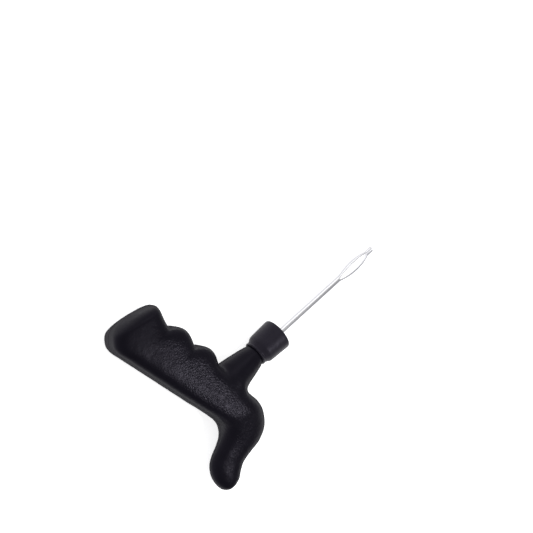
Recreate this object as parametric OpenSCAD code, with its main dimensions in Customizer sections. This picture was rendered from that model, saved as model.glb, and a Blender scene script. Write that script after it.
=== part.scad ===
// Tyre plug insertion tool: a split-eye steel needle in a hollow pistol-grip handle.
// The tool lies on its side. +X runs along the needle to its tip, +Y runs up the grip
// to its butt, and +Z points away from the face it rests on. The origin is on that
// resting plane, below the point where the needle's axis crosses the grip.

/* [Handle] */
// Thickness of the handle between its two flat faces
handle_t = 23; // [22:0.5:24]
// Wall of the moulded halves
wall = 3; // [2.6:0.1:3.4]
// Squareness of the palm side: 2 is an ellipse, 6 is nearly a box
palm_square = 5.5; // [4.5:0.5:6]
// Squareness of the finger side
finger_square = 4.5; // [4:0.5:6]
// Depth of the finger grooves
groove_depth = 4.9; // [2:0.1:5]
// Radius of the neck where it enters the collar
neck_r = 6.6; // [6.2:0.1:6.8]

/* [Collar] */
// Length of the collar, its rear cone included
collar_len = 19.7; // [19:0.1:21]
// Radius of the collar at its front rim
collar_r = 10; // [9.6:0.1:10.4]

/* [Needle] */
// Diameter of the needle's round shank
needle_d = 5; // [4.8:0.1:5.2]
// X of the fork where the eye begins
fork_x = 106.3; // [100:0.5:110]
// X of the needle's tip
tip_x = 138; // [134:0.5:142]
// Length of the eye, from the fork to where the limbs close up again
eye_len = 25.4; // [22:0.2:26]
// How far the left limb of the eye bows out
bow_left = 1.55; // [1.4:0.05:2]
// How far the right limb of the eye bows out
bow_right = 2.15; // [1.4:0.05:2.4]
// Gap between the left tip and the needle's axis
slit_left = 0.6; // [0.4:0.1:0.8]
// Gap between the right tip and the needle's axis
slit_right = 0.2; // [0.2:0.1:0.6]

/* [Anchor pin] */
// Diameter of the cross pin through the needle's tail
pin_d = 3; // [2.6:0.1:3.2]
// Length of the cross pin
pin_len = 16; // [14:0.5:17]

/* [Hidden] */
black_plastic = [0.11, 0.10, 0.12];
black_rubber = [0.14, 0.13, 0.15];
bright_steel = [0.80, 0.80, 0.82];
axis_z = handle_t / 2;          // height of the needle's axis and of the parting plane
needle_r = needle_d / 2;
fit_gap = 0.1;                  // radial room round a part that is pressed or glued in
big = 200;                      // half the side of a cutting block

// Cross-sections of the handle, from the butt to the end of the hook. Each row holds
// the palm-side point, the finger-side point, the half thickness and the squareness of
// the palm and the finger side.
palm_top = [-33.4, 52];
palm_low = [-19.1, 12];
valley_top = [-2.2, 49.4];
valley_low = [9.2, 12];
butt_rows = [
    [[-22, 69.9], [-14.5, 69.1], 1.2, 2.2, 2.2],
    [[-26.6, 69.4], [-6.3, 66.9], 5, 3.2, 2.6],
    [[-28.8, 68.7], [-2.8, 65.8], 7.3, 3.8, 3],
    [[-30.4, 67.9], [-0.8, 64.5], 9.2, 4.4, 3.5],
    [[-31.3, 67.2], [-0.4, 63], 10.5, 4.8, 4],
    [[-32, 66.5], [-0.6, 61], axis_z - 0.15, 5, finger_square],
    [[-33.1, 65.1], [-0.9, 59.2], axis_z, palm_square, finger_square],
    [[-34.6, 62.6], [-1.3, 57.4], axis_z, palm_square, finger_square],
    [[-35.4, 60.2], [-1.7, 55.4], axis_z, palm_square, finger_square],
    [[-35.2, 57.2], [-2, 53.4], axis_z, palm_square, finger_square],
    [[-34.4, 54.6], [-2.2, 51.4], axis_z, palm_square, finger_square],
    [palm_top, valley_top, axis_z, palm_square, finger_square]
];
hook_rows = [
    [palm_low, valley_low, axis_z, palm_square, finger_square],
    [[-16.4, 4.5], [12, 5], axis_z, palm_square, 4.2],
    [[-13.6, -3], [13.9, -5], axis_z, 5.2, 3.8],
    [[-10.8, -11], [15.3, -14], axis_z, 4.4, 3.2],
    [[-9.6, -17], [17.3, -21.4], axis_z - 0.5, 3.7, 2.8],
    [[-10.9, -21.4], [17, -29], axis_z - 1.8, 3.2, 2.6],
    [[-14, -24.7], [12.4, -37.6], axis_z - 3.3, 2.8, 2.5],
    [[-18.6, -27.4], [4.6, -42.4], axis_z - 4.5, 2.6, 2.5],
    [[-23.9, -29.9], [-3.2, -44], axis_z - 5.3, 2.5, 2.5],
    [[-28.6, -33.6], [-10.1, -45.6], axis_z - 5.9, 2.5, 2.5],
    [[-31.4, -38.9], [-15.1, -48.8], axis_z - 6.3, 2.5, 2.5],
    [[-32.1, -44.5], [-18.8, -51.9], axis_z - 6.8, 2.5, 2.5],
    [[-31.2, -49.3], [-22.7, -53.2], axis_z - 7.7, 2.3, 2.3],
    [[-29.3, -51.9], [-25.2, -53.4], axis_z - 9.3, 2.2, 2.2]
];
hump_count = 2;                 // whole humps between the top and the lowest valley
hump_lean = 0.88;               // below 1 the humps lean towards the butt
groove_steps = 14;              // sections along the grooved stretch
section_step = 15;              // degrees between the points of a section
flat_gain = 1.016;              // a section is clipped here, so that the grip has true flats
cavity_first = 7;               // first and last-but sections that the cavity reaches
cavity_last_but = 8;

collar_x = 33;                  // rear face of the collar
// Sections of the neck: X, its two sides in Y, radius in thickness
neck_rows = [
    [4, 11.3, -19.5, 10.8],
    [12.5, 10.5, -17.2, 10.5],
    [13.5, 10.4, -15.3, 10.3],
    [15, 10.2, -13.2, 10.1],
    [17, 9.8, -11.7, 9.7],
    [20, 9.3, -10.7, 9.1],
    [26, 8.3, -9.2, 8.1],
    [30.5, 7.3, -7.9, 7.2],
    [collar_x, neck_r, -neck_r, neck_r]
];
spigot_r = 6;                   // nose of the handle inside the collar
spigot_end = collar_x + 14.5;

// Inside the handle: a saddle block round the needle's tail, ribs and locating pegs
saddle_x = [-7, 16];
saddle_half_w = 8;
rib_t = 2.2;
rib_y = [36, 22, -24];
peg_spots = [[-19, 44], [-9, 15], [2, -31]];
peg_r = 2;
peg_len = 4;
boss_r = 3.8;
tail_x = 1;                     // rear end of the needle
pin_x = 6;

// The two limbs of the eye turn about round roots in the end of the shank
root_y = 1.3;
root_r = 1.1;
root_gap = 0.2;
root_kerf = 0.15;               // half the gap between the limbs at the fork
limb_t = needle_r - 0.2;        // thickness of a limb, a little less than half the rod
limb_arc = 85;                  // half the arc of a limb's round back, in degrees
limb_steps = 15;
limb_sides = 10;
taper_t = 0.62;                 // where along a limb its taper begins
round_t = 0.94;                 // where its rounded end begins
tip_scale = 0.85;

// ---- functions ----
function mix(a, b, t) = a + (b - a) * t;
function toward(a, b) = (b - a) / norm(b - a);
function hump(t) = sin(180 * pow(hump_count * t % 1, hump_lean));

// Section of the grooved stretch: straight palm side, humps on the finger side
function groove_row(t) =
    let (u = toward(valley_top, valley_low), out = [-u.y, u.x])
    [mix(palm_top, palm_low, t),
     mix(valley_top, valley_low, t) + out * groove_depth * hump(t),
     axis_z, palm_square, finger_square];

// Catmull-Rom curve through rows of points and sizes
function curve(p, t) =
    let (i = min(floor(t), len(p) - 2), f = t - i,
         a = p[max(i - 1, 0)], b = p[i], c = p[i + 1], d = p[min(i + 2, len(p) - 1)])
    [for (k = [0 : len(b) - 1])
        0.5 * (2 * b[k] + (c[k] - a[k]) * f
            + (2 * a[k] - 5 * b[k] + 4 * c[k] - d[k]) * f * f
            + (3 * b[k] - a[k] - 3 * c[k] + d[k]) * f * f * f)];
function smooth_rows(rows, n) = [for (i = [0 : n * (len(rows) - 1)]) curve(rows, i / n)];

grip_rows = [for (i = [1 : groove_steps - 1]) groove_row(i / groove_steps)];
body_rows = concat(butt_rows, grip_rows, smooth_rows(hook_rows, 2));
cavity_rows = [for (i = [cavity_first : len(body_rows) - cavity_last_but]) body_rows[i]];

// Squarish oval section standing in the handle, pulled in by t on every side
function oval(v, square) = sign(v) * pow(abs(v), 2 / square);
function body_ring(row, t) =
    let (mid = (row[0] + row[1]) / 2,
         u = toward(row[0], row[1]),
         w = norm(row[1] - row[0]) / 2 - t,
         h = min(row[2], axis_z) - t)
    [for (a = [0 : section_step : 359])
        let (square = cos(a) > 0 ? row[4] : row[3],
             across = w * oval(cos(a), square),
             up = h * max(-1, min(1, flat_gain * oval(sin(a), square))))
        [mid.x + u.x * across, mid.y + u.y * across, axis_z + up]];

function neck_ring(row) =
    let (mid = (row[1] + row[2]) / 2, half = (row[1] - row[2]) / 2)
    [for (a = [0 : 15 : 345]) [row[0], mid + half * cos(a), axis_z + row[3] * sin(a)]];

// Half round of the split rod at the place t along a limb, 0 at the fork and 1 at the
// tip. A limb is thinnest where it leaves the fork and where the eye closes.
function limb_scale(t) =
    t < taper_t ? 1
    : t < round_t ? max(1 - (t - taper_t) * 0.58, tip_scale)
    : tip_scale * sqrt(1 - 0.7 * pow((t - round_t) / (1 - round_t), 2));
function limb_ring(t, bow, slit, side) =
    let (x = mix(fork_x, tip_x, t),
         s = min((x - fork_x) / eye_len, 1),
         rise = sin(180 * s),
         inner = mix(root_kerf, slit, s) + bow * pow(rise, 0.6),
         outer = mix(root_kerf, slit, s) + bow * pow(rise, 0.95) + limb_scale(t) * limb_t)
    [for (i = [0 : limb_sides])
        let (a = mix(-limb_arc, limb_arc, i / limb_sides))
        [x,
         side * mix(inner, outer, (cos(a) - cos(limb_arc)) / (1 - cos(limb_arc))),
         axis_z + limb_scale(t) * needle_r * sin(a)]];
limb_stops = concat([for (i = [0 : limb_steps]) round_t * i / limb_steps], [0.97, 0.99, 1]);

// ---- shared shapes ----
// Solid through a run of convex sections
module loft(rings)
    for (i = [0 : len(rings) - 2])
        hull()
            polyhedron(points = concat(rings[i], rings[i + 1]),
                       faces = [for (k = [0 : len(rings[i]) + len(rings[i + 1]) - 3]) [k, k + 1, k + 2]]);

// One closed skin over a run of sections with the same number of points
module skin(rings, flip) {
    n = len(rings[0]);
    last = (len(rings) - 1) * n;
    sides = [for (i = [0 : len(rings) - 2]) for (k = [0 : n - 1])
        let (a = i * n + k, b = i * n + (k + 1) % n)
        each [[a, b, b + n], [a, b + n, a + n]]];
    ends = [[for (k = [n - 1 : -1 : 0]) k], [for (k = [0 : n - 1]) last + k]];
    faces = concat(sides, ends);
    polyhedron(points = [for (r = rings) each r],
               faces = flip ? [for (f = faces) [for (k = [len(f) - 1 : -1 : 0]) f[k]]] : faces);
}

module along_x(x0, x1, r, sides = 48)
    translate([x0, 0, axis_z])
        rotate([0, 90, 0])
            cylinder(h = x1 - x0, r = r, $fn = sides);

module upright(x, y, z0, z1, r, sides = 32)
    translate([x, y, z0])
        cylinder(h = z1 - z0, r = r, $fn = sides);

module half_space(above)
    translate([-big, -big, above ? axis_z : axis_z - 2 * big])
        cube(2 * big);

// ---- handle ----
module handle_outside() {
    loft([for (row = body_rows) body_ring(row, 0)]);
    loft([for (row = neck_rows) neck_ring(row)]);
    along_x(collar_x, spigot_end, spigot_r);
}

module handle_cavity()
    difference() {
        loft([for (row = cavity_rows) body_ring(row, wall)]);
        translate([saddle_x[0], -saddle_half_w, 0])
            cube([saddle_x[1] - saddle_x[0], 2 * saddle_half_w, handle_t]);
        for (y = rib_y)
            translate([-big / 2, y - rib_t / 2, 0])
                cube([big, rib_t, handle_t]);
        for (p = peg_spots)
            upright(p.x, p.y, 0, handle_t, boss_r, 24);
    }

module handle_half(above)
    intersection() {
        difference() {
            handle_outside();
            handle_cavity();
            along_x(tail_x - fit_gap, spigot_end + 1, needle_r + fit_gap);
            upright(pin_x, 0, axis_z - pin_len / 2 - fit_gap, axis_z + pin_len / 2 + fit_gap,
                    pin_d / 2 + fit_gap);
        }
        half_space(above);
    }

module handle_shell_top()
    color(black_plastic) {
        handle_half(true);
        for (p = peg_spots)
            upright(p.x, p.y, axis_z - peg_len, axis_z + 1, peg_r, 24);
    }

module handle_shell_bottom()
    color(black_plastic)
        difference() {
            handle_half(false);
            for (p = peg_spots)
                upright(p.x, p.y, axis_z - peg_len - 0.5, axis_z + 1, peg_r + fit_gap, 24);
        }

// ---- collar ----
module collar() {
    rim = 0.8;
    cone_len = 5;
    body_r = collar_r - 0.7;
    bore_r = spigot_r + fit_gap;
    hole_r = needle_r + fit_gap;
    front = collar_len;
    seat = spigot_end - collar_x + 0.3;
    color(black_rubber)
        translate([collar_x, 0, axis_z])
            rotate([0, 90, 0])
                rotate_extrude($fn = 96)
                    polygon([[bore_r, 0], [neck_r + 0.6, 0], [body_r, cone_len],
                             [collar_r, front - rim], [collar_r - rim, front],
                             [hole_r, front], [hole_r, seat], [bore_r, seat]]);
}

// ---- needle ----
module needle_shank()
    color(bright_steel)
        difference() {
            along_x(tail_x, fork_x - root_gap, needle_r);
            upright(pin_x, 0, 0, handle_t, pin_d / 2 + 0.05);
            for (side = [-1, 1])
                upright(fork_x, side * root_y, 0, handle_t, root_r + root_gap);
        }

module tine(side, bow, slit)
    color(bright_steel) {
        skin([for (t = limb_stops) limb_ring(t, bow, slit, side)], side > 0);
        intersection() {
            upright(fork_x, side * root_y, 0, handle_t, root_r);
            along_x(fork_x - 2 * root_r, fork_x + 2 * root_r, needle_r);
        }
    }

module tine_left() tine(1, bow_left, slit_left);

module tine_right() tine(-1, bow_right, slit_right);

module anchor_pin()
    color(bright_steel)
        upright(pin_x, 0, axis_z - pin_len / 2, axis_z + pin_len / 2, pin_d / 2);

handle_shell_top();
handle_shell_bottom();
collar();
needle_shank();
tine_left();
tine_right();
anchor_pin();
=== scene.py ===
"""Looks of a tyre plug insertion tool: a hooked pistol grip, a collar and a split-eye needle."""

import math

import bmesh
import bpy
import numpy as np
from mathutils import Matrix, Vector, noise


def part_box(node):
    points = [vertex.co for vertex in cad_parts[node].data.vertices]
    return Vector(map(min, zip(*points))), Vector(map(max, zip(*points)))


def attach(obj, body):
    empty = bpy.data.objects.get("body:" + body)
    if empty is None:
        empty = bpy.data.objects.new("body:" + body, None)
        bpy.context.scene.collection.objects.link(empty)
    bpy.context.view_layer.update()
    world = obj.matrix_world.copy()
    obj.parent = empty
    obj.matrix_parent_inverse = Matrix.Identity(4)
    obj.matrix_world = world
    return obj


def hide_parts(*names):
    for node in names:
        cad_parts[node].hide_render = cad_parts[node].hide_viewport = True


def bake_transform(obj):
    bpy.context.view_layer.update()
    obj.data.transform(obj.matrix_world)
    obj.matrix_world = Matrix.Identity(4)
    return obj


MM = 0.001
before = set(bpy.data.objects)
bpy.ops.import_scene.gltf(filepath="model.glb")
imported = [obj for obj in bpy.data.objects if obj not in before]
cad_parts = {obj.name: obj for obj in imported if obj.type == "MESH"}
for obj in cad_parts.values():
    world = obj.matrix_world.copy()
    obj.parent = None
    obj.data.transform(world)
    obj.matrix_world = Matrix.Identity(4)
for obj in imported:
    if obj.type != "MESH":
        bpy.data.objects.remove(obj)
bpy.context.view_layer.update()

# ---- places taken from the frame, in millimetres ----
shank_low, shank_high = [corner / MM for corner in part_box("needle_shank")]
collar_low, collar_high = [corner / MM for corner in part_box("collar")]
limb_low, limb_high = [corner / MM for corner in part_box("tine_left")]
right_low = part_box("tine_right")[0] / MM
AXIS_Z = (shank_low.z + shank_high.z) / 2
NEEDLE_R = (shank_high.z - shank_low.z) / 2
COLLAR_X = collar_low.x
COLLAR_LEN = collar_high.x - collar_low.x
COLLAR_R = (collar_high.y - collar_low.y) / 2
HALF = AXIS_Z                       # half the grip's thickness: it rests on z = 0
TIP_X = limb_high.x

# ---- handle outline: palm point, finger point, half thickness, squareness of the palm and
# the finger side (2 is an ellipse, 6 is nearly a box) ----
BUTT_ROWS = [
    ((-22.0, 69.9), (-14.5, 69.1), 1.2, 2.2, 2.2),
    ((-26.6, 69.4), (-6.3, 66.9), 5.0, 3.2, 2.6),
    ((-28.8, 68.7), (-2.8, 65.8), 7.3, 3.8, 3),
    ((-30.4, 67.9), (-0.8, 64.5), 9.2, 4.4, 3.5),
    ((-31.3, 67.2), (-0.4, 63.0), 10.5, 4.8, 4),
    ((-32.0, 66.5), (-0.6, 61.0), 11.35, 5, 4.5),
    ((-33.1, 65.1), (-0.9, 59.2), HALF, 5.5, 4.5),
    ((-34.6, 62.6), (-1.3, 57.4), HALF, 5.5, 4.5),
    ((-35.3, 60.2), (-1.7, 55.4), HALF, 5.5, 4.5),
    ((-35.1, 57.2), (-2.0, 53.4), HALF, 5.5, 4.5),
    ((-34.4, 54.6), (-2.2, 51.4), HALF, 5.5, 4.5),
    ((-33.4, 52.0), (-2.2, 49.4), HALF, 5.5, 4.5),
]
HOOK_ROWS = [
    ((-19.1, 12.0), (9.2, 12.0), HALF, 5.5, 4.5),
    ((-16.4, 4.5), (12.0, 5.0), HALF, 5.5, 4.2),
    ((-13.6, -3.0), (13.9, -5.0), HALF, 5.2, 3.8),
    ((-10.8, -11.0), (15.3, -14.0), HALF, 4.4, 3.2),
    ((-9.6, -17.0), (17.3, -21.4), HALF - 0.5, 3.7, 2.8),
    ((-10.9, -21.4), (17.0, -29.0), HALF - 1.8, 3.2, 2.6),
    ((-14.0, -24.7), (12.4, -37.6), HALF - 3.3, 2.8, 2.5),
    ((-18.6, -27.4), (4.6, -42.4), HALF - 4.5, 2.6, 2.5),
    ((-23.9, -29.9), (-3.2, -44.0), HALF - 5.3, 2.5, 2.5),
    ((-28.6, -33.6), (-10.1, -45.6), HALF - 5.9, 2.5, 2.5),
    ((-31.4, -38.9), (-15.1, -48.8), HALF - 6.3, 2.5, 2.5),
    ((-32.1, -44.5), (-18.8, -51.9), HALF - 6.8, 2.5, 2.5),
    ((-31.2, -49.3), (-22.7, -53.2), HALF - 7.7, 2.3, 2.3),
    ((-29.3, -51.9), (-25.2, -53.35), HALF - 9.3, 2.2, 2.2),
]
CROWN = 0.075                       # how much lower the flats are at their edges
HUMPS = 2
HUMP_HEIGHT = 4.9
HUMP_LEAN = 0.88                    # below 1 the humps lean towards the butt
NECK_ROWS = [                       # X, its two sides in Y, radius in thickness
    (4, 11.3, -19.5, 10.8), (12.5, 10.5, -17.2, 10.5), (13.5, 10.4, -15.3, 10.3),
    (15, 10.2, -13.2, 10.1), (17, 9.8, -11.7, 9.7), (20, 9.3, -10.7, 9.1),
    (26, 8.3, -9.2, 8.1), (30.5, 7.3, -7.9, 7.2), (33, 6.6, -6.7, 6.6), (36, 6.0, -6.0, 6.0),
]
VOXEL = 0.36                        # cell of the remesh that joins grip and neck
SEAM_HALF_W = 0.28                  # half width of the parting line
SEAM_DEPTH = 0.16
WANDER_SLOW = (0.07, 0.16)          # unevenness of the moulded skin: height and frequency
WANDER_FAST = (0.035, 0.45)
WANDER_BIAS = 0.05                  # keeps the uneven skin inside the CAD part

# ---- collar and eye of the needle ----
LIP_R = 7.05                        # ring where the collar meets the neck
RIM_R = 0.9                         # rounding of the collar's front rim
NECK_BORE_R = 6.1
SHANK_GAP = 0.05                    # between the shank and the collar's hole
FORK_X = limb_low.x + 1.1           # the limbs' hinge roots are 1.1 mm in radius
ROOT_LEN = 2.0                      # the limbs' outside starts this far before the fork
EYE_LEN = 25.4
ROOT_KERF = 0.05
LIMB_T = NEEDLE_R - 0.2
BOW = {1: limb_high.y - LIMB_T - 0.375, -1: -right_low.y - LIMB_T - 0.175}
SLIT = {1: 0.6, -1: 0.2}

# ---- looks ----
VIOLET_TINT = (0.87, 0.82, 1.0, 1)
HELD_CENTRE = (-0.003, 0.006, AXIS_Z * MM)      # middle of the crinkled part of the grip
HELD_RADII = (0.017, 0.050, 0.05)
SKY_DIM = ((0.0, 1.0), (0.2, 0.95), (0.34, 0.38), (0.6, 0.28), (0.95, 0.24))
SKY_BRIGHT = ((0.0, 1.1), (0.1, 1.0), (0.3, 1.1), (0.6, 0.85), (0.95, 0.62))


# ---- mesh helpers ----
def new_object(name, verts, faces):
    """A mesh object from points in millimetres."""
    mesh = bpy.data.meshes.new(name)
    mesh.from_pydata([tuple(float(c) for c in v) for v in verts], [], faces)
    mesh.update()
    obj = bpy.data.objects.new(name, mesh)
    bpy.context.scene.collection.objects.link(obj)
    return obj


def skin(rings, capped=True):
    """Points and faces of a tube over rings that all have the same number of points."""
    n = len(rings[0])
    verts = [p for ring in rings for p in ring]
    faces = [(i * n + k, i * n + (k + 1) % n, (i + 1) * n + (k + 1) % n, (i + 1) * n + k)
             for i in range(len(rings) - 1) for k in range(n)]
    if capped:
        faces.append(tuple(range(n - 1, -1, -1)))
        faces.append(tuple(range(len(verts) - n, len(verts))))
    return verts, faces


def set_points(obj, co):
    obj.data.vertices.foreach_set("co", np.asarray(co, np.float32).ravel())
    obj.data.update()


def get_points(obj):
    co = np.zeros(len(obj.data.vertices) * 3, np.float32)
    obj.data.vertices.foreach_get("co", co)
    return co.reshape(-1, 3).astype(float)


def get_normals(obj):
    no = np.zeros(len(obj.data.vertices) * 3, np.float32)
    obj.data.vertices.foreach_get("normal", no)
    return no.reshape(-1, 3).astype(float)


def relax(obj, weight, rounds):
    """Smooths the mesh: each round moves a point towards its neighbours' mean by its weight."""
    co = get_points(obj)
    ends = np.zeros(len(obj.data.edges) * 2, np.int32)
    obj.data.edges.foreach_get("vertices", ends)
    a, b = ends[::2], ends[1::2]
    count = np.bincount(a, minlength=len(co)) + np.bincount(b, minlength=len(co))
    for _ in range(rounds):
        total = np.stack([np.bincount(a, co[b, k], len(co)) + np.bincount(b, co[a, k], len(co))
                          for k in range(3)], 1)
        co += weight[:, None] * (total / count[:, None] - co)
    set_points(obj, co)


def apply_modifier(obj, kind, **settings):
    modifier = obj.modifiers.new(kind.lower(), kind)
    for key, value in settings.items():
        setattr(modifier, key, value)
    bpy.context.view_layer.update()
    view = bpy.context.evaluated_depsgraph_get()
    shaped = bpy.data.meshes.new_from_object(obj.evaluated_get(view))
    obj.modifiers.clear()
    obj.data = shaped


def smoothstep(x, low, high):
    t = np.clip((x - low) / (high - low), 0, 1)
    return t * t * (3 - 2 * t)


def band(x, start, full, fade, end):
    """Rises from 0 to 1 between start and full, and falls back between fade and end."""
    return smoothstep(x, start, full) * (1 - smoothstep(x, fade, end))


def curve(rows, steps):
    """Catmull-Rom curve through rows of numbers."""
    rows = np.array(rows, float)
    p = np.vstack([rows[:1], rows, rows[-1:]])
    out = []
    for i in range(len(rows) - 1):
        a, b, c, d = p[i:i + 4]
        for f in np.arange(steps) / steps:
            out.append(0.5 * (2 * b + (c - a) * f + (2 * a - 5 * b + 4 * c - d) * f**2
                              + (3 * b - a - 3 * c + d) * f**3))
    return out + [rows[-1]]


def arc(cx, cy, radius, start, end, points=6):
    """Points on an arc, angles in degrees."""
    return [(cx + radius * math.cos(math.radians(a)), cy + radius * math.sin(math.radians(a)))
            for a in np.linspace(start, end, points)]


# ---- handle ----
def flat_row(row):
    palm, finger, half, palm_square, finger_square = row
    return [*palm, *finger, half, palm_square, finger_square]


def groove_rows(steps):
    """Sections along the finger grooves, between the butt and the hook."""
    top, low = np.array(flat_row(BUTT_ROWS[-1])), np.array(flat_row(HOOK_ROWS[0]))
    along = (low[2:4] - top[2:4]) / np.linalg.norm(low[2:4] - top[2:4])
    out = np.array([-along[1], along[0]])
    rows = []
    for t in np.arange(1, steps) / steps:
        row = top + (low - top) * t
        row[2:4] += out * HUMP_HEIGHT * math.sin(math.pi * (HUMPS * t % 1) ** HUMP_LEAN)
        rows.append(row)
    return rows


def rounded_ring(row, steps=96):
    """Squarish oval through a row, standing upright between its two points."""
    palm, finger = np.array(row[0:2]), np.array(row[2:4])
    half = min(row[4], HALF)
    ring = []
    for t in np.linspace(0, 2 * math.pi, steps, endpoint=False):
        c, s = math.cos(t), math.sin(t)
        power = 2 / (row[6] if c > 0 else row[5])
        across = math.copysign(abs(c) ** power, c)
        spot = palm + (finger - palm) * (1 + across) / 2
        up = half * (1 - CROWN * across**2) * math.copysign(abs(s) ** power, s)
        ring.append((*spot, AXIS_Z + up))
    return ring


def neck_ring(row, steps=72):
    x, high, low, half = row
    mid, r = (high + low) / 2, (high - low) / 2
    return [(x, mid + r * math.cos(a), AXIS_Z + half * math.sin(a))
            for a in np.linspace(0, 2 * math.pi, steps, endpoint=False)]


def handle_body():
    """The whole handle as one closed skin, grip and neck grown together."""
    rows = (curve([flat_row(r) for r in BUTT_ROWS], 5)
            + groove_rows(72)
            + curve([flat_row(r) for r in HOOK_ROWS], 6))
    verts, faces = skin([rounded_ring(r) for r in rows])
    neck_verts, neck_faces = skin([neck_ring(r) for r in curve(NECK_ROWS, 4)])
    faces += [tuple(i + len(verts) for i in f) for f in neck_faces]
    obj = new_object("handle_body", verts + neck_verts, faces)
    apply_modifier(obj, "REMESH", mode="VOXEL", voxel_size=VOXEL)
    relax(obj, np.full(len(obj.data.vertices), 0.5), 3)
    # the neck's top and underside flow into the flat sides of the grip
    co = get_points(obj)
    root = (band(co[:, 0], 2, 8, 20, 30)
            * (1 - smoothstep(np.abs(co[:, 1] + 2), 14, 22))
            * smoothstep(np.abs(co[:, 2] - AXIS_Z), 4, 7.5))
    relax(obj, 0.5 * root, 140)
    # the last finger groove runs out into the neck without a crease
    co = get_points(obj)
    groove = band(co[:, 0], 5, 9, 15, 20) * band(co[:, 1], 5, 9, 15, 19)
    relax(obj, 0.5 * groove, 60)
    return obj


def wander(obj):
    """Slow unevenness of a moulded part: it moves the skin by up to about 0.1 mm."""
    co, no = get_points(obj), get_normals(obj)
    lift = np.array([sum(height * noise.noise(Vector(p) * frequency)
                         for height, frequency in (WANDER_SLOW, WANDER_FAST)) for p in co])
    lift *= smoothstep(co[:, 2], 0, 0.4) * smoothstep(2 * AXIS_Z - co[:, 2], 0, 0.4) * 0.5 + 0.5
    co += no * (lift - WANDER_BIAS)[:, None]
    set_points(obj, co)


def cut(bm, z, keep_above=None):
    """Cuts the mesh at a height, and drops one side if keep_above says so."""
    geometry = bm.verts[:] + bm.edges[:] + bm.faces[:]
    bmesh.ops.bisect_plane(bm, geom=geometry, plane_co=(0, 0, z), plane_no=(0, 0, 1), dist=1e-5,
                           clear_inner=keep_above is True, clear_outer=keep_above is False)


def handle_halves():
    """The two moulded halves, with a fine V along the parting line."""
    whole = handle_body()
    wander(whole)
    bm = bmesh.new()
    bm.from_mesh(whole.data)
    for z in (AXIS_Z - SEAM_HALF_W, AXIS_Z + SEAM_HALF_W, AXIS_Z):
        cut(bm, z)
    bm.normal_update()
    for v in bm.verts:
        if abs(v.co.z - AXIS_Z) < 1e-4:
            out = Vector((v.normal.x, v.normal.y, 0)).normalized()
            v.co -= out * SEAM_DEPTH
    seamed = bpy.data.meshes.new("seamed")
    bm.to_mesh(seamed)
    bm.free()
    halves = []
    for name, above in (("grip_half_upper", True), ("grip_half_lower", False)):
        bm = bmesh.new()
        bm.from_mesh(seamed)
        cut(bm, AXIS_Z, keep_above=above)
        rim = [e for e in bm.edges if e.is_boundary]
        bmesh.ops.holes_fill(bm, edges=rim, sides=0)
        bmesh.ops.recalc_face_normals(bm, faces=bm.faces[:])
        mesh = bpy.data.meshes.new(name)
        bm.to_mesh(mesh)
        bm.free()
        obj = bpy.data.objects.new(name, mesh)
        bpy.context.scene.collection.objects.link(obj)
        halves.append(obj)
    bpy.data.objects.remove(whole)
    return halves


# ---- collar and needle ----
def round_rings(profile, sides):
    """Circles about the needle's axis through a profile of (x, radius)."""
    return [[(x, r * math.cos(a), AXIS_Z + r * math.sin(a))
             for a in np.linspace(0, 2 * math.pi, sides, endpoint=False)] for x, r in profile]


def lathe(name, profile, sides=96):
    """Closed profile of (x, radius) turned about the needle's axis."""
    rings = round_rings(profile, sides)
    verts, faces = skin(rings + [rings[0]], capped=False)
    n = len(verts) - sides
    faces = [tuple(i if i < n else i - n for i in f) for f in faces]
    return new_object(name, verts[:n], faces)


def collar():
    """Sleeve with a ring at the neck, a short cone and a rounded front rim."""
    x0 = COLLAR_X
    end = COLLAR_X + COLLAR_LEN
    body_r = COLLAR_R - 0.7
    outside = curve([(x0 + 1.8, LIP_R + 0.55), (x0 + 3.2, 8.2), (x0 + 4.6, 9.0), (x0 + 6.2, body_r + 0.05),
                     (x0 + 12, COLLAR_R - 0.35), (end - 2.2, COLLAR_R - 0.02)], 6)
    profile = (
        [(x0 + 1.6, NECK_BORE_R)]
        + arc(x0 + 0.75, LIP_R, 0.75, 250, 70, 10)
        + [(x0 + 1.4, LIP_R + 0.5)]
        + [tuple(p) for p in outside]
        + arc(end - RIM_R, COLLAR_R - RIM_R, RIM_R, 84, 6, 8)
        + [(end, 7.5), (end, 4.2), (end - 0.25, NEEDLE_R + 0.5), (end - 1.5, NEEDLE_R + SHANK_GAP),
           (end - 4, NEEDLE_R + SHANK_GAP), (end - 4.2, 6.0)]
    )
    return lathe("collar_sleeve", profile)


def needle_rod():
    profile = [(x, NEEDLE_R) for x in np.linspace(COLLAR_X + 2, FORK_X - ROOT_LEN, 40)]
    verts, faces = skin(round_rings(profile, 64))
    return new_object("needle_rod", verts, faces)


def corners_cut(points, share):
    """The closed outline with each corner cut off at a share of its two sides."""
    out = []
    for p, q in zip(points, points[1:] + points[:1]):
        out.append((p[0] + (q[0] - p[0]) * share, p[1] + (q[1] - p[1]) * share))
        out.append((q[0] + (p[0] - q[0]) * share, q[1] + (p[1] - q[1]) * share))
    return out


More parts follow.
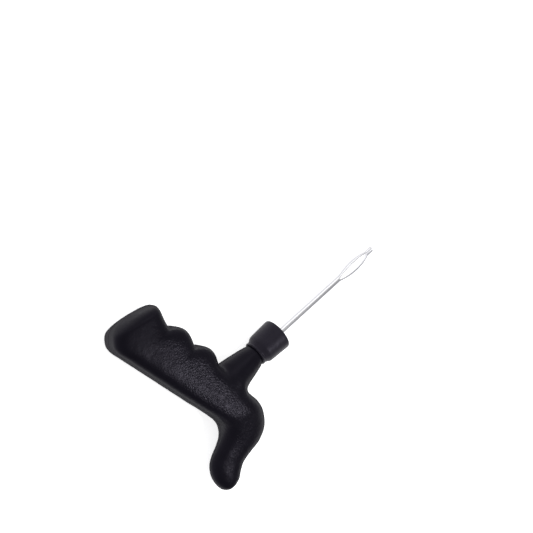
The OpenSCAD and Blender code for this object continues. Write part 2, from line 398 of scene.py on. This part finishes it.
def limb_ring(x, side):
    """Section of one limb: a half round with softened edges."""
    s = min(max((x - FORK_X) / EYE_LEN, 0), 1)
    t = min(max((x - FORK_X) / (TIP_X - FORK_X), 0), 1)
    rise = math.sin(math.pi * s)
    base = ROOT_KERF + (SLIT[side] - ROOT_KERF) * smoothstep(s, 0, 1)
    scale = 1 - 0.15 * smoothstep(t, 0.62, 0.88)
    if t > 0.94:
        scale *= math.sqrt(1 - 0.7 * ((t - 0.94) / 0.06) ** 2)
    inner = base + BOW[side] * rise**0.6
    shoulder = (1 - smoothstep(x, FORK_X - 2, FORK_X + 3)) * 0.15
    outer = base + BOW[side] * rise**0.95 + scale * LIMB_T + shoulder
    if x <= FORK_X:
        inner, outer = 0.0, NEEDLE_R
    blunt = 0.02 + 0.23 * smoothstep(x, FORK_X - ROOT_LEN, FORK_X + 1.5)
    points = []
    for a in np.linspace(-90, 90, 19):
        points.append((inner + (outer - inner) * math.cos(math.radians(a)),
                       scale * NEEDLE_R * math.sin(math.radians(a))))
    points += [(inner, scale * NEEDLE_R * z) for z in (0.6, 0, -0.6)]
    for _ in range(2):
        points = corners_cut(points, blunt)
    return [(x, side * y, AXIS_Z + z) for y, z in points]


def eye_limb(name, side):
    """One limb of the eye, with closer rings in its rounded end."""
    along = np.linspace(FORK_X - ROOT_LEN, TIP_X - 1.9, 70)
    rounding = TIP_X - 1.9 * np.linspace(0.85, 0, 9) ** 1.4
    verts, faces = skin([limb_ring(x, side) for x in (*along, *rounding)])
    if side > 0:
        faces = [tuple(reversed(f)) for f in faces]
    obj = new_object(name, verts, faces)
    bm = bmesh.new()
    bm.from_mesh(obj.data)
    bmesh.ops.remove_doubles(bm, verts=bm.verts[:], dist=1e-4)
    bmesh.ops.recalc_face_normals(bm, faces=bm.faces[:])
    bm.to_mesh(obj.data)
    bm.free()
    return obj


def finished(obj, material, smooth_angle=40):
    """Millimetres to metres, smooth shading, material."""
    obj.data.transform(Matrix.Scale(MM, 4))
    obj.data.materials.clear()
    obj.data.materials.append(material)
    obj.data.shade_smooth()
    obj.data.set_sharp_from_angle(angle=math.radians(smooth_angle))
    obj.data.update()
    return obj


# ---- materials ----
class Nodes:
    """Short calls for building one material's nodes."""

    def __init__(self, name):
        self.material = bpy.data.materials.new(name)
        self.material.use_nodes = True
        self.tree = self.material.node_tree
        self.shader = self.tree.nodes["Principled BSDF"]
        self.coords = self.tree.nodes.new("ShaderNodeTexCoord").outputs["Object"]

    def link(self, a, b):
        self.tree.links.new(a, b)

    def noise(self, scale, detail=3, rough=0.55, source=None, distort=0.0):
        node = self.tree.nodes.new("ShaderNodeTexNoise")
        node.inputs["Scale"].default_value = scale
        node.inputs["Detail"].default_value = detail
        node.inputs["Roughness"].default_value = rough
        node.inputs["Distortion"].default_value = distort
        self.link(source or self.coords, node.inputs["Vector"])
        return node.outputs["Fac"]

    def cells(self, scale, source=None):
        node = self.tree.nodes.new("ShaderNodeTexVoronoi")
        node.feature = "DISTANCE_TO_EDGE"
        node.inputs["Scale"].default_value = scale
        self.link(source or self.coords, node.inputs["Vector"])
        return node.outputs["Distance"]

    def stretch(self, scale):
        node = self.tree.nodes.new("ShaderNodeMapping")
        node.inputs["Scale"].default_value = scale
        self.link(self.coords, node.inputs["Vector"])
        return node.outputs["Vector"]

    def warped(self, scale, amount):
        """Coordinates pushed about by noise, so that cells get uneven outlines."""
        node = self.tree.nodes.new("ShaderNodeTexNoise")
        node.inputs["Scale"].default_value = scale
        node.inputs["Detail"].default_value = 2
        self.link(self.coords, node.inputs["Vector"])
        centred = self.vector("SUBTRACT", node.outputs["Color"], (0.5, 0.5, 0.5))
        pushed = self.vector("MULTIPLY", centred, (amount, amount, amount))
        return self.vector("ADD", self.coords, pushed)

    def reach(self, centre, radii):
        """Distance from a centre, 1 at the ellipsoid with these radii."""
        apart = self.vector("SUBTRACT", self.coords, centre)
        return self.vector("LENGTH", self.vector("DIVIDE", apart, radii))

    def vector(self, operation, a, b=None):
        node = self.tree.nodes.new("ShaderNodeVectorMath")
        node.operation = operation
        for socket, v in zip(node.inputs, (a, b)):
            if isinstance(v, tuple):
                socket.default_value = v
            elif v is not None:
                self.link(v, socket)
        return node.outputs["Value" if operation == "LENGTH" else "Vector"]

    def ramp(self, value, low, high, out_low, out_high):
        node = self.tree.nodes.new("ShaderNodeMapRange")
        for key, v in zip(("From Min", "From Max", "To Min", "To Max"), (low, high, out_low, out_high)):
            node.inputs[key].default_value = v
        self.link(value, node.inputs["Value"])
        return node.outputs["Result"]

    def math(self, operation, a, b):
        node = self.tree.nodes.new("ShaderNodeMath")
        node.operation = operation
        for socket, v in zip(node.inputs, (a, b)):
            if isinstance(v, (int, float)):
                socket.default_value = v
            else:
                self.link(v, socket)
        return node.outputs["Value"]

    def facing(self):
        """0 where the surface faces the viewer, 1 where it turns away."""
        node = self.tree.nodes.new("ShaderNodeLayerWeight")
        return node.outputs["Facing"]

    def mix(self, fac, a, b):
        node = self.tree.nodes.new("ShaderNodeMix")
        node.data_type = "RGBA"
        self.link(fac, node.inputs["Factor"])
        node.inputs["A"].default_value = (*a, 1)
        node.inputs["B"].default_value = (*b, 1)
        return node.outputs["Result"]

    def bump(self, height, strength, distance, before=None):
        node = self.tree.nodes.new("ShaderNodeBump")
        node.inputs["Strength"].default_value = strength
        node.inputs["Distance"].default_value = distance
        self.link(height, node.inputs["Height"])
        if before:
            self.link(before, node.inputs["Normal"])
        return node.outputs["Normal"]


def grip_plastic():
    """Smooth black plastic, crinkled where the hand holds it, more matt where it turns away."""
    n = Nodes("grip_plastic")
    broad = n.noise(90, 4, 0.6)
    reach = n.math("ADD", n.reach(HELD_CENTRE, HELD_RADII), n.math("MULTIPLY", broad, 0.5))
    held = n.ramp(reach, 0.6, 1.5, 1.0, 0.2)
    hide = n.ramp(n.cells(640, source=n.warped(260, 0.0014)), 0.0, 0.45, 0.0, 0.8)
    crinkle = n.math("ADD", hide, n.noise(560, 2, 0.5, distort=0.6))
    fine = n.noise(2600, 3, 0.6)
    n.link(n.mix(broad, (0.0026, 0.0022, 0.0043), (0.0040, 0.0034, 0.0066)), n.shader.inputs["Base Color"])
    matt = n.math("MULTIPLY", n.ramp(n.facing(), 0.45, 0.85, 0.0, 1.0), 0.5)
    n.link(n.math("ADD", n.ramp(broad, 0.25, 0.75, 0.28, 0.34), matt), n.shader.inputs["Roughness"])
    n.shader.inputs["Specular IOR Level"].default_value = 0.12
    n.shader.inputs["Specular Tint"].default_value = VIOLET_TINT
    worn = n.bump(n.math("MULTIPLY", crinkle, held), 1.0, 0.00011)
    n.link(n.bump(fine, 0.30, 0.00002, before=worn), n.shader.inputs["Normal"])
    return n.material


def collar_rubber():
    n = Nodes("collar_rubber")
    broad = n.noise(160, 4, 0.6)
    n.link(n.mix(broad, (0.0062, 0.0054, 0.0092), (0.0120, 0.0104, 0.0160)), n.shader.inputs["Base Color"])
    n.link(n.ramp(broad, 0.3, 0.7, 0.36, 0.50), n.shader.inputs["Roughness"])
    n.shader.inputs["Specular IOR Level"].default_value = 0.2
    n.shader.inputs["Specular Tint"].default_value = VIOLET_TINT
    n.link(n.bump(n.noise(520, 3, 0.6), 1.0, 0.00016), n.shader.inputs["Normal"])
    return n.material


def needle_steel():
    n = Nodes("needle_steel")
    drawn = n.noise(60, 3, 0.5, source=n.stretch((0.6, 14, 14)))
    cloud = n.noise(140, 3, 0.55)
    n.link(n.mix(cloud, (0.74, 0.74, 0.76), (0.83, 0.83, 0.84)), n.shader.inputs["Base Color"])
    n.shader.inputs["Metallic"].default_value = 1.0
    n.link(n.ramp(drawn, 0.3, 0.7, 0.16, 0.25), n.shader.inputs["Roughness"])
    n.link(n.bump(drawn, 0.12, 0.00004), n.shader.inputs["Normal"])
    return n.material


# ---- stage ----
def camera():
    """Looks down on the tool from beside its butt, with the needle up and to the right."""
    azimuth, elevation, roll = math.radians(-130.42), math.radians(60.3), math.radians(93.5)
    target, distance = Vector((70.4, 37.05, AXIS_Z)) * MM, 616.9 * MM
    back = Vector((math.sin(azimuth) * math.cos(elevation), -math.cos(azimuth) * math.cos(elevation),
                   math.sin(elevation)))
    level_right = (-back).cross(Vector((0, 0, 1))).normalized()
    level_up = level_right.cross(-back)
    up = level_up * math.cos(roll) - level_right * math.sin(roll)
    right = level_right * math.cos(roll) + level_up * math.sin(roll)
    lens = bpy.data.cameras.new("camera")
    lens.lens, lens.sensor_width = 69.97, 36
    lens.clip_start, lens.clip_end = 0.01, 20
    obj = bpy.data.objects.new("camera", lens)
    obj.matrix_world = Matrix((
        (right.x, up.x, back.x, 0), (right.y, up.y, back.y, 0), (right.z, up.z, back.z, 0), (0, 0, 0, 1)))
    obj.matrix_world.translation = target + back * distance
    bpy.context.scene.collection.objects.link(obj)
    bpy.context.scene.camera = obj


def softbox(name, direction, distance, size, watts, aim):
    """Square area light that stands in a direction from the point it is aimed at."""
    light = bpy.data.lights.new(name, "AREA")
    light.size = size
    light.energy = watts
    obj = bpy.data.objects.new(name, light)
    toward = Vector(direction).normalized()
    obj.location = Vector(aim) + toward * distance
    obj.rotation_euler = toward.to_track_quat("Z", "Y").to_euler()
    obj.visible_camera = False
    bpy.context.scene.collection.objects.link(obj)


def sky_ramp(tree, height, stops):
    """Grey level of the sky by height: 0 at the horizon, 1 straight up."""
    node = tree.nodes.new("ShaderNodeValToRGB")
    for stop in stops[2:]:
        node.color_ramp.elements.new(stop[0])
    for element, (place, level) in zip(node.color_ramp.elements, stops):
        element.position = place
        element.color = (level * 0.98, level * 0.98, level, 1)
    tree.links.new(height, node.inputs["Fac"])
    return node.outputs["Color"]


def studio():
    """Bright near the horizon, dimmer higher up on the hook's side, and two soft boxes."""
    bpy.context.scene.view_settings.view_transform = "Standard"
    world = bpy.data.worlds.new("studio")
    world.use_nodes = True
    bpy.context.scene.world = world
    tree = world.node_tree
    coords = tree.nodes.new("ShaderNodeTexCoord")
    split = tree.nodes.new("ShaderNodeSeparateXYZ")
    side = tree.nodes.new("ShaderNodeMapRange")
    blend = tree.nodes.new("ShaderNodeMix")
    blend.data_type = "RGBA"
    side.inputs["From Min"].default_value = -0.75
    side.inputs["From Max"].default_value = 0.25
    tree.links.new(coords.outputs["Generated"], split.inputs["Vector"])
    tree.links.new(split.outputs["Y"], side.inputs["Value"])
    tree.links.new(side.outputs["Result"], blend.inputs["Factor"])
    dim = sky_ramp(tree, split.outputs["Z"], SKY_DIM)
    bright = sky_ramp(tree, split.outputs["Z"], SKY_BRIGHT)
    tree.links.new(dim, blend.inputs["A"])
    tree.links.new(bright, blend.inputs["B"])
    tree.links.new(blend.outputs["Result"], tree.nodes["Background"].inputs["Color"])
    softbox("key", (0.20, -0.42, 0.868), 0.38, 0.08, 0.60, aim=(0.004, -0.019, 0.023))
    softbox("fill", (0.38, 0.42, 0.82), 0.9, 0.45, 0.5, aim=(0.09, 0, 0.012))


def floor():
    """Plain white floor, just under the part."""
    size = 3.0
    corners = [(-size, -size, 0), (size, -size, 0), (size, size, 0), (-size, size, 0)]
    mesh = bpy.data.meshes.new("floor")
    mesh.from_pydata(corners, [], [(0, 1, 2, 3)])
    obj = bpy.data.objects.new("floor", mesh)
    bpy.context.scene.collection.objects.link(obj)
    obj.location.z = -0.0002
    material = bpy.data.materials.new("pale_floor")
    material.use_nodes = True
    shader = material.node_tree.nodes["Principled BSDF"]
    shader.inputs["Base Color"].default_value = (0.9, 0.9, 0.9, 1)
    shader.inputs["Roughness"].default_value = 1.0
    shader.inputs["Specular IOR Level"].default_value = 0.0
    shader.inputs["Emission Color"].default_value = (1, 1, 1, 1)
    shader.inputs["Emission Strength"].default_value = 0.68
    mesh.materials.append(material)


# ---- build ----
plastic, rubber, steel = grip_plastic(), collar_rubber(), needle_steel()

upper, lower = [finished(half, plastic) for half in handle_halves()]
for half, node in ((upper, "handle_shell_top"), (lower, "handle_shell_bottom")):
    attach(half, "handle")
    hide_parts(node)

sleeve = finished(collar(), rubber, 50)
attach(sleeve, "handle")
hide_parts("collar")

rod = finished(needle_rod(), steel)
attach(rod, "handle")
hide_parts("needle_shank")

for name, side, body in (("eye_limb_left", 1, "tine_left"), ("eye_limb_right", -1, "tine_right")):
    limb = finished(eye_limb(name, side), steel, 55)
    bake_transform(limb)
    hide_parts(body)

for material_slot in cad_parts["anchor_pin"].material_slots:
    material_slot.material = steel

camera()
studio()
floor()
